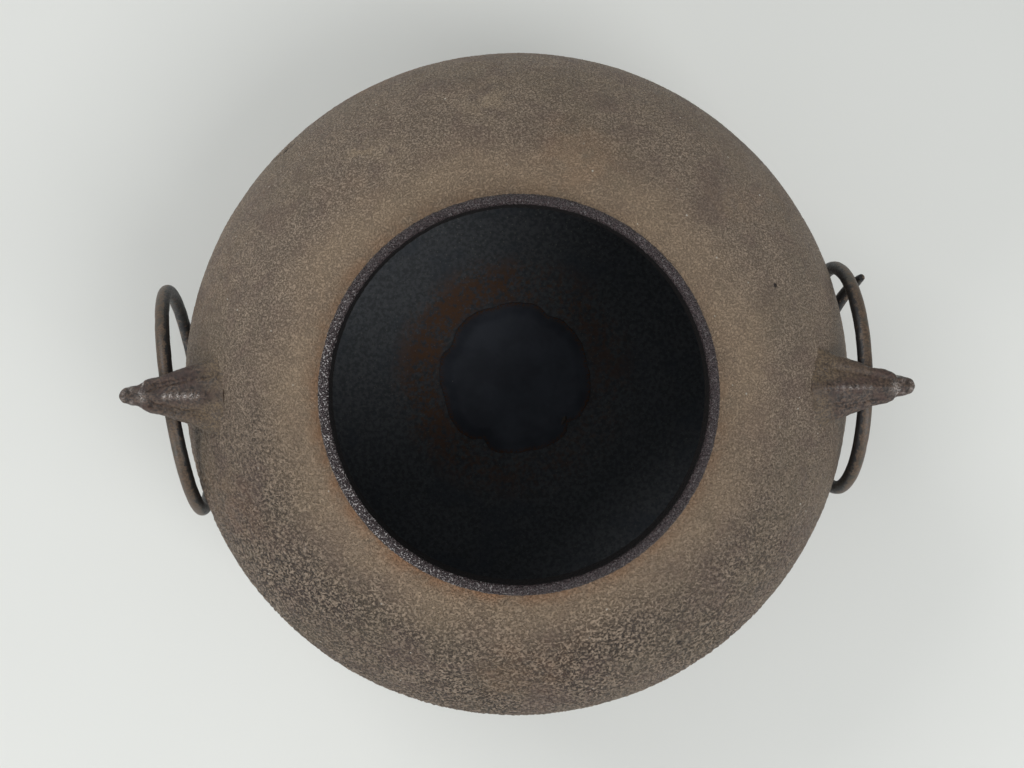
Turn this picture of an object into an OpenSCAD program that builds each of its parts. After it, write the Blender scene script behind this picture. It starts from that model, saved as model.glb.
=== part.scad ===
// Round cast iron kettle for tea, without its lid: a thin-walled round body
// with a low upright rim, a tapering lug on each side, an open forged ring
// hanging in each lug, and iron sounding plates bedded in lacquer inside.
// Origin: centre of the flat base, on the surface it stands on. +Z is up.
// The two lugs lie along X: the left one at -X, the right one at +X.

/* [Body] */
// Outside radius of the body at its waist
waist_r = 117; // [114:1:120]
// Height of the waist above the base
waist_z = 88; // [85:1:90]
// Rise of the shoulder curve, if it were carried on to the axis
shoulder_rise = 76; // [74:1:77]
// Drop of the lower curve, if it were carried on to the axis
under_drop = 96.5; // [94:0.5:99]
// Thickness of the cast wall
wall = 4.5; // [4:0.5:5.5]

/* [Mouth] */
// Radius of the straight wall inside the mouth
mouth_r = 56.8; // [55:0.2:58]
// Thickness of the upright rim round the mouth
rim_wall = 3.5; // [3:0.5:4.5]
// Height of the top of the rim above the base
rim_z = 160; // [159:0.5:163]
// Rounding of the rim's two upper edges
rim_round = 1.2; // [0.6:0.2:1.2]

/* [Lugs] */
// Distance from the kettle's axis to the tip of a lug
lug_tip_x = 130.5; // [128:0.5:134]
// Width of a lug where it leaves the wall
lug_root_w = 18; // [16:1:20]
// Depth of a lug, top to bottom, at its eye
lug_depth = 17; // [16.5:0.5:19]
// Width of a lug's rounded tip
lug_tip_w = 5.5; // [4.5:0.5:6.5]
// Radius of the eye that the ring hangs in
eye_r = 4.4; // [4.3:0.1:4.6]
// Radius that the eye opens out to on each side of the lug
eye_mouth_r = 5.8; // [5.4:0.2:6.2]
// Radius of the round spigot that seats a lug in the wall
spigot_r = 6; // [4:0.5:6.5]
// Depth of the pocket for the spigot
spigot_depth = 2; // [1:0.5:2.5]

/* [Rings] */
// Radius of a ring, to the middle of its wire
ring_r = 39.7; // [39.5:0.1:40]
// Radius of the wire
wire_r = 2.45; // [2.2:0.05:2.5]
// Radius of the wire at its drawn-out ends
wire_end_r = 1.4; // [1.2:0.1:1.8]
// Length over which each end tapers
taper_l = 13; // [9:1:15]
// How far the curved tail of a ring turns out of the ring's plane
tail_tilt = 17; // [14:1:18]
// Angle that the tail covers
tail_arc = 88; // [80:1:92]
// Distance from the kettle's axis to the middle of each eye
hinge_x = 114.8; // [114.6:0.1:115.2]
// Height of the axis that each ring swings on
hinge_z = 122; // [121.5:0.5:122.5]
// Turn of the left ring about the upright, as it sits in its eye
left_yaw = 8; // [6:1:8]
// Lean of the left ring, its foot outwards, where it rests on the belly
left_lean = 7.5; // [7.5:0.5:9]
// Sideways slew of the left ring in its own plane
left_sway = 4.5; // [3:0.5:4.5]
// Sideways slew of the right ring in its own plane
right_sway = 2; // [0:0.5:2]

/* [Lacquer and plates] */
// Radius of the circle that the plates lie on
plate_ring_r = 23; // [22:0.5:25]
// Radius of one plate
plate_r = 6.5; // [5:0.5:7]
// Thickness of one plate
plate_t = 1.6; // [1.2:0.2:2]
// Radius of the lacquer over one plate
lobe_r = 10.5; // [9.5:0.5:11]
// Thickness of the lacquer bed
lacquer_t = 2.6; // [2.4:0.2:3]

/* [Hidden] */
$fn = 96;

iron = [0.36, 0.31, 0.28];
lug_iron = [0.29, 0.25, 0.25];
ring_iron = [0.33, 0.28, 0.24];
lacquer = [0.12, 0.13, 0.16];
plate_iron = [0.22, 0.2, 0.2];

curve_steps = 32;
edge_steps = 6;
base_round = 1.5;
plate_count = 8;
// The shoulder stops where it meets the outside of the rim.
rim_r = mouth_r + rim_wall;
rim_start = acos(rim_r / waist_r);
base_start = asin((waist_z - base_round) / under_drop);

// A point of the outer curve, and one of the inner curve, at an angle above the waist
function outer_drop(a) = a < 0 ? under_drop : shoulder_rise;
function outer_point(a) = [waist_r * cos(a), waist_z + outer_drop(a) * sin(a)];
function inner_point(a) = [(waist_r - wall) * cos(a), waist_z + (outer_drop(a) - wall) * sin(a)];
function curve_step(from, to, i) = from + (to - from) * i / curve_steps;
function outer_curve(from, to) = [for (i = [0:curve_steps]) outer_point(curve_step(from, to, i))];
function inner_curve(from, to) = [for (i = [0:curve_steps]) inner_point(curve_step(from, to, i))];
// A quarter-round of radius r about a centre, from one angle to another
function edge(centre, r, from, to) =
    [for (i = [0:edge_steps]) centre + r * [cos(from + (to - from) * i / edge_steps),
                                            sin(from + (to - from) * i / edge_steps)]];

base_r = outer_point(-base_start)[0] - base_round;
inner_start = asin((waist_z - wall) / (under_drop - wall));
inner_stop = acos(mouth_r / (waist_r - wall));

// Solid of the whole outside, with no hollow
module outside() {
    rotate_extrude()
        polygon(concat(
            [[0, 0], [base_r, 0]],
            outer_curve(-base_start, 0),
            outer_curve(0, rim_start),
            edge([rim_r - rim_round, rim_z - rim_round], rim_round, 0, 90),
            [[0, rim_z]]));
}

// The hollow: straight-walled at the mouth, flat on the floor
module hollow() {
    rotate_extrude()
        polygon(concat(
            [[0, wall]],
            inner_curve(-inner_start, 0),
            inner_curve(0, inner_stop),
            edge([mouth_r + rim_round, rim_z - rim_round], rim_round, 180, 90),
            [[mouth_r + rim_round, rim_z + wall], [0, rim_z + wall]]));
}

// Seat of a lug: where the wall's surface is at the lug's height, and its slope
seat_angle = asin((hinge_z - waist_z) / shoulder_rise);
seat_point = outer_point(seat_angle);
seat_slope = atan2(waist_r * sin(seat_angle), shoulder_rise * cos(seat_angle));

// Spigot of the right lug, square to the wall, from its pocket's floor outwards
module spigot(length) {
    translate([seat_point[0], 0, seat_point[1]])
        rotate([0, 90 - seat_slope, 0])
            translate([0, 0, -spigot_depth])
                cylinder(r = spigot_r, h = length);
}

module kettle_body() {
    color(iron)
        difference() {
            outside();
            hollow();
            for (side = [0, 1])
                mirror([side, 0, 0])
                    spigot(wall + spigot_depth);
        }
}

// Outlines of the right lug, as functions of the way t from its root to its tip
lug_root_x = seat_point[0] - lug_root_w;
// The wire lies in the lower half of the eye.
eye_rise = 0.5;
eye_straight = 6;
eye_flare_l = 3.5;
lug_axis_z = hinge_z + eye_rise;
lug_steps = 14;
snout_start = 0.76;
hood_edge = 0.7;
lug_tip_r = lug_tip_w / 2;
lug_length = lug_tip_x - lug_tip_r - lug_root_x;
// In plan a lug draws in almost evenly. From the side it stays deep past the eye.
lug_width_grow = lug_root_w / 2 + 1.6 - lug_tip_r;
lug_depth_grow = lug_depth / 2 - lug_tip_r;
lug_width_power = 1.1;
lug_depth_hold = 2.6;
lug_depth_power = 0.8;
// The root's corners are rounded off to this radius about the lug's own line.
lug_round_r = lug_root_w / 2 + 1;
function hood(t) = t < snout_start ? hood_edge : 0;
function lug_half_width(t) = lug_tip_r + lug_width_grow * pow(1 - t, lug_width_power) + hood(t);
function lug_half_depth(t) =
    lug_tip_r + lug_depth_grow * pow(1 - pow(t, lug_depth_hold), lug_depth_power) + hood(t);
lug_sections = [for (i = [0:lug_steps]) i / lug_steps];

// A lug's outline: out along one side, round the tip and back along the other
module lug_outline(half) {
    polygon(concat(
        [for (t = lug_sections) [lug_root_x + lug_length * t, -half(t)]],
        edge([lug_tip_x - lug_tip_r, 0], lug_tip_r, -60, 60),
        [for (i = [lug_steps:-1:0]) [lug_root_x + lug_length * i / lug_steps, half(i / lug_steps)]]));
}

// The eye, along Y: straight in the middle, opening out to each side
module eye() {
    rotate([90, 0, 0])
        cylinder(r = eye_r, h = 2 * lug_root_w, center = true);
    for (side = [90, -90])
        rotate([side, 0, 0])
            translate([0, 0, eye_straight / 2])
                cylinder(r1 = eye_r, r2 = eye_mouth_r, h = eye_flare_l);
}

// Right lug: plan, side and front outlines crossed, the wall and the eye cut away
module lug() {
    difference() {
        intersection() {
            translate([0, 0, lug_axis_z - lug_depth])
                linear_extrude(2 * lug_depth)
                    lug_outline(function(t) lug_half_width(t));
            translate([0, lug_root_w, lug_axis_z])
                rotate([90, 0, 0])
                    linear_extrude(2 * lug_root_w)
                        lug_outline(function(t) lug_half_depth(t));
            translate([lug_root_x, 0, lug_axis_z])
                rotate([0, 90, 0])
                    cylinder(r = lug_round_r, h = lug_tip_x - lug_root_x);
        }
        outside();
        translate([hinge_x, 0, lug_axis_z])
            eye();
    }
    intersection() {
        outside();
        spigot(spigot_depth + wall);
    }
}

module left_lug() {
    color(lug_iron)
        mirror([1, 0, 0])
            lug();
}

module right_lug() {
    color(lug_iron)
        lug();
}

// Wire of an open ring, as functions of the angle b round the ring. The wire
// runs in one plane up to the tail, which turns out of it and passes the first end.
wire_sides = 12;
wire_step = 5;
ring_main_arc = 262;
taper_arc = taper_l / ring_r * 180 / PI;
ring_span = taper_arc + ring_main_arc + tail_arc + taper_arc;
stations = floor(ring_span / wire_step);
function tail_side(a) = a < 0 ? 0 : ring_r * sin(tail_tilt) * (1 - cos(a));
function tail_slope(a) = a < 0 ? 0 : sin(tail_tilt) * sin(a);
function from_end(b) = min(b, ring_span - b) / taper_arc;
function wire_size(b) = wire_end_r + (wire_r - wire_end_r) * sin(90 * min(1, from_end(b)));
// One corner of the wire's section: out along the ring's radius, then across it
function wire_corner(b, start, corner) =
    let (
        way = start - taper_arc + b,
        tail = b - taper_arc - ring_main_arc,
        radial = [cos(way), sin(way), 0],
        along = [-sin(way), cos(way), tail_slope(tail)] / norm([1, tail_slope(tail)]),
        across = cross(radial, along),
        turn = 360 * corner / wire_sides
    )
    ring_r * radial + [0, 0, tail_side(tail)]
        + wire_size(b) * (cos(turn) * radial + sin(turn) * across);

// An open ring in the XY plane, middle at the origin, tail towards +Z
module open_ring(start) {
    corners = [for (i = [0:stations], k = [0:wire_sides - 1])
        wire_corner(ring_span * i / stations, start, k)];
    skin = [for (i = [0:stations - 1], k = [0:wire_sides - 1])
        let (next = (k + 1) % wire_sides)
        [i * wire_sides + k,
         i * wire_sides + next,
         (i + 1) * wire_sides + next,
         (i + 1) * wire_sides + k]];
    first_end = [for (k = [wire_sides - 1:-1:0]) k];
    last_end = [for (k = [0:wire_sides - 1]) stations * wire_sides + k];
    polyhedron(corners, concat(skin, [first_end, last_end]));
}

// A ring hung by its top at the origin, its plane square to X, tail towards +X
module hung_ring(start) {
    translate([0, 0, -ring_r])
        rotate([90, 0, 90])
            open_ring(start);
}

// Angle of each ring's first end below the ring's +Y side
right_start = -32;
left_start = -69;

// The two rings are one forging. The left one's tail turns in under the belly, and
// the right one's outwards, because each has slid round its own way in its eye.
module left_ring() {
    color(ring_iron)
        translate([-hinge_x, 0, hinge_z])
            rotate([0, 0, left_yaw])
                rotate([0, left_lean, 0])
                    rotate([-left_sway, 0, 0])
                        hung_ring(left_start);
}

module right_ring() {
    color(ring_iron)
        translate([hinge_x, 0, hinge_z])
            rotate([right_sway, 0, 0])
                hung_ring(right_start);
}

// Centre of a plate on the floor of the kettle
function plate_place(n) = plate_ring_r * [cos(360 * n / plate_count), sin(360 * n / plate_count)];

module plate_at(n) {
    translate([plate_place(n)[0], plate_place(n)[1], wall])
        cylinder(r = plate_r, h = plate_t);
}

// Lacquer poured over the plates: one round lobe to each, run together in the middle
module lacquer_bed() {
    color(lacquer)
        difference() {
            translate([0, 0, wall])
                union() {
                    cylinder(r = plate_ring_r, h = lacquer_t);
                    for (n = [1:plate_count])
                        translate(plate_place(n))
                            cylinder(r = lobe_r, h = lacquer_t);
                }
            for (n = [1:plate_count])
                plate_at(n);
        }
}

module sounding_plate(n) {
    color(plate_iron)
        plate_at(n);
}

kettle_body();
left_lug();
right_lug();
left_ring();
right_ring();
lacquer_bed();
for (n = [1:plate_count])
    sounding_plate(n);
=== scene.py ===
"""Looks of the round cast iron kettle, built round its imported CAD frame.

Lengths are in millimetres and angles in degrees, as in the CAD. Only the floor, the lights and
the camera are in metres, as Blender's scene is. +Z is up, and the lugs lie along X.
"""

import itertools
import math

import bpy
import mathutils
import numpy as np
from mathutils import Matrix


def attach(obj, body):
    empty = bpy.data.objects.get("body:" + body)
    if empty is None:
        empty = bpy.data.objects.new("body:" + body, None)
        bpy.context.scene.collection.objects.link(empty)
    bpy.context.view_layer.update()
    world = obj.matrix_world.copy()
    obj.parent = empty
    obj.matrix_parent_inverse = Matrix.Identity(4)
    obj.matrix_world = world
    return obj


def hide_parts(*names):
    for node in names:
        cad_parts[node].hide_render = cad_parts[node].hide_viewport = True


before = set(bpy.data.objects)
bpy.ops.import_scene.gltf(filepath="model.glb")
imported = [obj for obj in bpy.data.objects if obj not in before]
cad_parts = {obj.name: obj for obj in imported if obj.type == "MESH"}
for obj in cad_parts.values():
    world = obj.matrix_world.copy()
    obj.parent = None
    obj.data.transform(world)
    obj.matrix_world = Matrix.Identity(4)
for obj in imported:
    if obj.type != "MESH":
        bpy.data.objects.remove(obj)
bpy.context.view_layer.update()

MM = 0.001

# The kettle's body, as in the CAD
WAIST_R = 117.0
WAIST_Z = 88.0
SHOULDER_RISE = 76.0
UNDER_DROP = 96.5
WALL = 4.5
MOUTH_R = 56.8
RIM_R = 60.3
RIM_Z = 160.0
RIM_ROUND = 1.2
BASE_ROUND = 1.5
BASE_R = 49.0

# How the body's skin is laid out: the flat left in the middle of the base and of the floor, the
# points along each curve and round each rounded edge, the step along the profile, the width and
# the reach in steps of the blur that softens its corners, and the points round each row
POLE_R = 1.5
CURVE_POINTS = 400
ROUND_POINTS = 9
PROFILE_STEP = 0.1
EDGE_SOFT = 0.45
BLUR_STEPS = 12
SEGMENTS = 1200

# Gaps between its rows: outside, and what is added to that low down; inside, and what is added to
# that high up; at the rim; and under the base
OUTSIDE_GAP, OUTSIDE_LOW_GAP = 0.52, 0.7
INSIDE_GAP, INSIDE_HIGH_GAP = 1.0, 1.2
RIM_GAP = 0.34
BASE_GAP = 2.2

# Each: degrees round from +X, degrees above the waist, width, and depth or strength
CHIPS = [
    (133.5, 15.0, 1.7, 1.0),
    (131.9, 16.5, 1.2, 0.7),
    (135.2, 13.5, 1.3, 0.8),
    (-58.0, 33.0, 1.1, 0.4),
    (22.0, 41.0, 0.9, 0.35),
]
PALE_PATCHES = [
    (122.0, 38.0, 3.5, 0.85),
    (96.0, 37.0, 8.0, 0.3),
    (118.0, 43.0, 5.0, 0.3),
    (42.0, 40.0, 5.0, 0.25),
]

# The lugs
LUG_ROOT_X = 86.6
LUG_TIP_X = 130.35
LUG_TIP_R = 2.75
LUG_AXIS_Z = 122.5
SNOUT_Z = 124.3
EYE_X = 114.8
EYE_R = 4.4
EYE_STRAIGHT = 3.0
EYE_FLARE = 0.2

# How the lugs are sculpted: the step and the blur of the grid, the fall of the roof's sides, the
# snout's lift, the pitch and the middle of the keel's beads, and forms that lie on both sides
LUG_STEP = 0.36
FIELD_BLUR = 0.15
ROOF_FALL = 0.34
SNOUT_LIFT = 2.2
BEAD_PITCH = 2.3
BEAD_MIDDLE = 107.0
NOSTRIL = (127.0, 1.3, SNOUT_Z + 2.3)
SMALL_EYE = (124.4, 3.3, SNOUT_Z + 1.2)
BROW_KNOB = (125.6, 2.2, SNOUT_Z + 2.4)
SIDE_SWELL = (107.0, 6.0, LUG_AXIS_Z - 3.5)
# Spots of painted highlight on the snout.
LIP_HIGHLIGHT = (128.5, 1.0, SNOUT_Z + 1.6)
KNOB_HIGHLIGHT = (125.5, 2.0, SNOUT_Z + 2.2)

# What differs between the lugs: where the hood ends, the phase of its wavy edge, how much its
# crease forks, the strength of the ridges, the dusty side, the beads, their shine and the noise
LEFT_LUG = {
    "hood_x": 122.4, "phase": 0.6, "fork": 0.9, "ridges": 1.1,
    "dusty": -1.0, "beads": 1.0, "shine": 1.0, "seed": 0,
}
RIGHT_LUG = {
    "hood_x": 123.4, "phase": 2.4, "fork": 0.45, "ridges": 0.5,
    "dusty": 1.0, "beads": 0.35, "shine": 0.35, "seed": 20,
}

# The rings
RING_R = 39.7
WIRE_R = 2.45
WIRE_END_R = 1.4
RING_MAIN_ARC = 262.0
RING_TAIL_ARC = 88.0
TAIL_TILT = 17.0
TAPER_ARC = math.degrees(13.0 / RING_R)
RING_SPAN = 2 * TAPER_ARC + RING_MAIN_ARC + RING_TAIL_ARC
HINGE_X = 114.8
HINGE_Z = 122.0

# How the rings' skins are laid out: points round the wire, places along it, how far each end's
# cap spreads in degrees, and its rows' shares of the wire's size
RING_SIDES = 24
RING_STATIONS = 460
CAP_ARC = 0.25
CAP_SHARES = np.array([0.0, 0.45, 0.72, 0.9, 0.98])

# The lacquer and its plates
PLATE_COUNT = 8
PLATE_RING_R = 23.0
PLATE_R = 6.5
PLATE_T = 1.6
LOBE_R = 10.5
LACQUER_T = 2.6

# The lacquer's skin: points round it, rows, and how far its edge dips below the floor's surface
POOL_SIDES = 360
POOL_ROWS = 90
POOL_DIP = 0.35
# Where its edge runs in between lobes: angle round it, depth, and half width in degrees
LACQUER_NOTCHES = [
    (-118, 3.0, 6.0), (-40, 2.6, 6.0), (62, 2.2, 8.0), (152, 2.0, 7.0),
    (14, 0.9, 10.0), (-80, 0.5, 9.0), (-165, 0.8, 9.0), (105, 0.7, 9.0),
]
PLATE_SIDES = 64
# Heights up a plate's edge, and the share of its outline there
PLATE_LEVELS = [
    (0.0, 0.86), (0.12, 0.97), (0.4, 1.0), (1.15, 1.0), (1.5, 0.96), (PLATE_T, 0.86), (PLATE_T, 0.5),
]

# The stage, in metres
FLOOR_HALF = 4.0
FLOOR_POINTS = 24
# The sky is a little brighter straight overhead. Heights are the sine of the angle above the horizon.
SKY_COLOUR = (0.95, 0.98, 1.0, 1.0)
SKY = 0.40
SKY_OVERHEAD = 0.50
OVERHEAD_FROM, OVERHEAD_FULL = 0.82, 0.98
# Each: name, place, what it faces, width and watts
SOFTBOXES = [
    ("high_right", (0.5, -0.5, 1.2), (0, 0, 0.1), 0.6, 5.5),
    ("back_left", (-0.75, 0.8, 0.95), (0, 0, 0.1), 0.7, 7.5),
    ("front_left", (-0.85, -0.75, 0.6), (0, 0, 0.08), 0.5, 4.5),
    ("front_right", (0.9, -0.7, 0.6), (0, 0, 0.08), 0.5, 3.5),
]
CAMERA_PLACE = (-0.00406, 0.01803, 0.51711)
CAMERA_TURN = (-2.295, -0.344, -0.704)
CAMERA_LENS = 42.19
CAMERA_SENSOR = 36.0


# ---------------- patterns in numpy


def smooth(low, high, value):
    """0 below low, 1 above high, and a smooth step between them. low may be the larger."""
    t = np.clip((value - low) / (high - low), 0, 1)
    return t * t * (3 - 2 * t)


def lattice(cells, seed):
    """A repeatable number from 0 to 255 for each cell of a 3-D lattice."""
    c = cells.astype(np.int64)
    h = c[:, 0] * 73856093 ^ c[:, 1] * 19349663 ^ c[:, 2] * 83492791 ^ (seed * 40503 + 977)
    h = (h ^ (h >> 13)) * 1274126177
    return ((h ^ (h >> 16)) & 255).astype(np.int64)


DRAWS = np.random.default_rng(11)
DIRECTIONS = DRAWS.normal(size=(256, 3))
DIRECTIONS /= np.linalg.norm(DIRECTIONS, axis=1)[:, None]
SPOTS = DRAWS.random((256, 3))


def noise(points, size, seed):
    """Gradient noise with features of about size, from about -1 to 1."""
    p = points / size
    cell = np.floor(p)
    f = p - cell
    ease = f * f * f * (f * (f * 6 - 15) + 10)
    total = np.zeros(len(points))
    for corner in itertools.product((0, 1), repeat=3):
        away = f - corner
        pull = (away * DIRECTIONS[lattice(cell + corner, seed)]).sum(1)
        weight = np.prod(np.where(corner, ease, 1 - ease), axis=1)
        total += pull * weight
    return total * 1.6


def pebbles(points, size, seed):
    """Rounded grains of about size: 1 in the middle of each and 0 along the seams between them."""
    p = points / size
    cell = np.floor(p)
    first = np.full(len(points), 9.0)
    second = np.full(len(points), 9.0)
    for step in itertools.product((-1, 0, 1), repeat=3):
        near = cell + step
        away = np.linalg.norm(near + SPOTS[lattice(near, seed)] - p, axis=1)
        second = np.minimum(second, np.maximum(first, away))
        first = np.minimum(first, away)
    return smooth(0.0, 0.55, second - first)


def bend(points, size, reach, seed):
    """The points, each pushed about by noise, so that patterns on them don't run straight."""
    return points + reach * np.stack([noise(points, size, seed + k) for k in range(3)], axis=1)


# ---------------- meshes


def piece_from(name, points_mm, faces, body, replaced, shading):
    """A Blender piece from millimetre points, riding on a CAD body in place of its nodes."""
    mesh = bpy.data.meshes.new(name)
    mesh.from_pydata((points_mm * MM).tolist(), [], faces)
    mesh.validate()
    piece = bpy.data.objects.new(name, mesh)
    bpy.context.scene.collection.objects.link(piece)
    mesh.polygons.foreach_set("use_smooth", np.full(len(mesh.polygons), True))
    for material in shading:
        mesh.materials.append(material)
    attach(piece, body)
    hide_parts(*replaced)
    return piece


def mark(piece, **values):
    """Stores one number per vertex, for the materials to read."""
    for name, value in values.items():
        attribute = piece.data.attributes.new(name, "FLOAT", "POINT")
        attribute.data.foreach_set("value", np.asarray(value, np.float32))


def tube_faces(rows, sides):
    """Quads over a grid of rows by sides that closes on itself round its sides."""
    i, k = np.meshgrid(np.arange(rows - 1), np.arange(sides), indexing="ij")
    i, k = i.ravel(), k.ravel()
    beside, below = (k + 1) % sides, i + 1
    corners = [i * sides + k, i * sides + beside, below * sides + beside, below * sides + k]
    return np.stack(corners, axis=1)


def closed_tube(rows, sides, turned_over):
    """Faces of a tube with a flat face over each end."""
    faces = tube_faces(rows, sides).tolist()
    faces.append(list(range(sides))[::-1])
    faces.append([(rows - 1) * sides + k for k in range(sides)])
    return [face[::-1] for face in faces] if turned_over else faces


def circle(sides):
    """Angles round a circle, and the unit direction at each."""
    turn = np.arange(sides) * 2 * math.pi / sides
    return turn, np.stack([np.cos(turn), np.sin(turn)], axis=1)


def stepped_back(at, axis, back):
    """Grid places, each moved back along the two directions other than axis."""
    others = [k for k in range(3) if k != axis]
    cell = at.copy()
    cell[:, others[0]] -= back[0]
    cell[:, others[1]] -= back[1]
    return cell


def surface_of(field, origin, step):
    """Points and quads of the surface where a 3-D grid of numbers passes from negative, inside,
    to positive, outside. Each point is the mean of its cell's edge crossings."""
    inside = field < 0
    total = np.zeros([n - 1 for n in field.shape] + [3])
    count = np.zeros([n - 1 for n in field.shape])
    crossings = []
    for axis in range(3):
        low = [slice(None)] * 3
        high = [slice(None)] * 3
        low[axis], high[axis] = slice(None, -1), slice(1, None)
        a, b = field[tuple(low)], field[tuple(high)]
        crossed = inside[tuple(low)] != inside[tuple(high)]
        at = np.argwhere(crossed)
        share = a[crossed] / (a[crossed] - b[crossed])
        where = at.astype(float)
        where[:, axis] += share
        crossings.append((axis, at, inside[tuple(low)][crossed]))
        for back in itertools.product((0, 1), repeat=2):
            cell = stepped_back(at, axis, back)
            ok = ((cell >= 0) & (cell < np.array(count.shape))).all(1)
            np.add.at(total, tuple(cell[ok].T), where[ok])
            np.add.at(count, tuple(cell[ok].T), 1)
    used = count > 0
    number = np.full(count.shape, -1)
    number[used] = np.arange(used.sum())
    points = origin + step * total[used] / count[used][:, None]
    faces = []
    for axis, at, begins_inside in crossings:
        round_edge = ((1, 1), (0, 1), (0, 0), (1, 0))
        quad = np.stack([number[tuple(stepped_back(at, axis, back).T)] for back in round_edge], axis=1)
        turned = begins_inside if axis != 1 else ~begins_inside
        quad[~turned] = quad[~turned][:, ::-1]
        faces.append(quad)
    return points, np.concatenate(faces)


def relax(points, faces, rounds):
    """Evens out a mesh by moving each point half way to the middle of its neighbours."""
    pairs = np.concatenate([faces[:, [k, (k + 1) % 4]] for k in range(4)])
    for _ in range(rounds):
        total = np.zeros_like(points)
        count = np.zeros(len(points))
        np.add.at(total, pairs[:, 0], points[pairs[:, 1]])
        np.add.at(total, pairs[:, 1], points[pairs[:, 0]])
        np.add.at(count, pairs[:, 0], 1)
        np.add.at(count, pairs[:, 1], 1)
        points = points + 0.5 * (total / count[:, None] - points)
    return points


def normals_of(points, faces):
    """Unit normals of a quad mesh's points."""
    one, two, three, four = (points[faces[:, k]] for k in range(4))
    across = np.cross(three - one, four - two)
    normals = np.zeros_like(points)
    for k in range(4):
        np.add.at(normals, faces[:, k], across)
    return normals / np.maximum(np.linalg.norm(normals, axis=1), 1e-12)[:, None]


# ---------------- materials


def tone(red, green, blue):
    """A colour given by its screen values from 0 to 255, as Blender's linear colour."""
    return tuple(
        c / 12.92 if c <= 0.04045 else ((c + 0.055) / 1.055) ** 2.4
        for c in (red / 255, green / 255, blue / 255)
    ) + (1.0,)


# The colours of each surface
# PIT is painted shade in the grain's pits, and also the dark of blotches and chips. CREST is the
# grain's lighter mottling, and also a painted highlight on its crests.
PIT = tone(34, 23, 18)
SKIN = tone(112, 96, 80)
CREST = tone(163, 146, 128)
PURPLE = tone(96, 77, 70)
OLIVE = tone(108, 97, 76)
RUST = tone(134, 94, 62)
# A lighter band round the mouth: rubbed iron, and painted top light.
WORN_AND_TOP_LIGHT = tone(150, 129, 105)
DUST = tone(172, 152, 124)
SPECK = tone(205, 200, 188)
RIM_DARK = tone(36, 29, 31)
RIM_LIGHT = tone(86, 71, 72)
# Painted glints on the rim.
RIM_GLINT = tone(225, 220, 218)
UNDER_DARK = tone(44, 38, 35)
UNDER_LIGHT = tone(82, 72, 64)
UNDER_RUST = tone(92, 66, 46)
INSIDE_DARK = tone(74, 77, 80)
INSIDE_LIGHT = tone(95, 98, 102)
INSIDE_BLUE = tone(70, 76, 84)
INSIDE_RUST = tone(112, 80, 58)
# Painted shade on the mouth's inner wall.
INSIDE_NECK_SHADE = tone(24, 22, 22)
LUG_DARK = tone(33, 26, 23)
LUG_LIGHT = tone(88, 71, 59)
LUG_PURPLE = tone(68, 50, 46)
# Painted shade in the snouts' dimples.
LUG_DIMPLE_SHADE = tone(20, 16, 14)
LUG_DIRT = tone(72, 60, 48)
LUG_DUST = tone(104, 88, 69)
# Painted highlight on the lugs' crests.
LUG_HIGHLIGHT = tone(190, 182, 176)
RING_BROWN = tone(60, 48, 38)
RING_TAN = tone(96, 78, 61)
RING_GREEN = tone(56, 55, 48)
# Soot, and painted shade, on the rings.
RING_BLACK = tone(20, 19, 20)
LACQUER_DARK = tone(76, 79, 87)
LACQUER_LIGHT = tone(90, 94, 103)
PLATE_DARK = tone(52, 47, 45)
PLATE_LIGHT = tone(96, 84, 76)
FLOOR_DARK = tone(216, 217, 213)
FLOOR_LIGHT = tone(222, 223, 219)


def set_range(node, *numbers):
    """Gives a Map Range node its from low, from high, to low and to high, with a smooth step."""
    node.interpolation_type = "SMOOTHSTEP"
    for name, number in zip(("From Min", "From Max", "To Min", "To Max"), numbers):
        node.inputs[name].default_value = number


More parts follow.
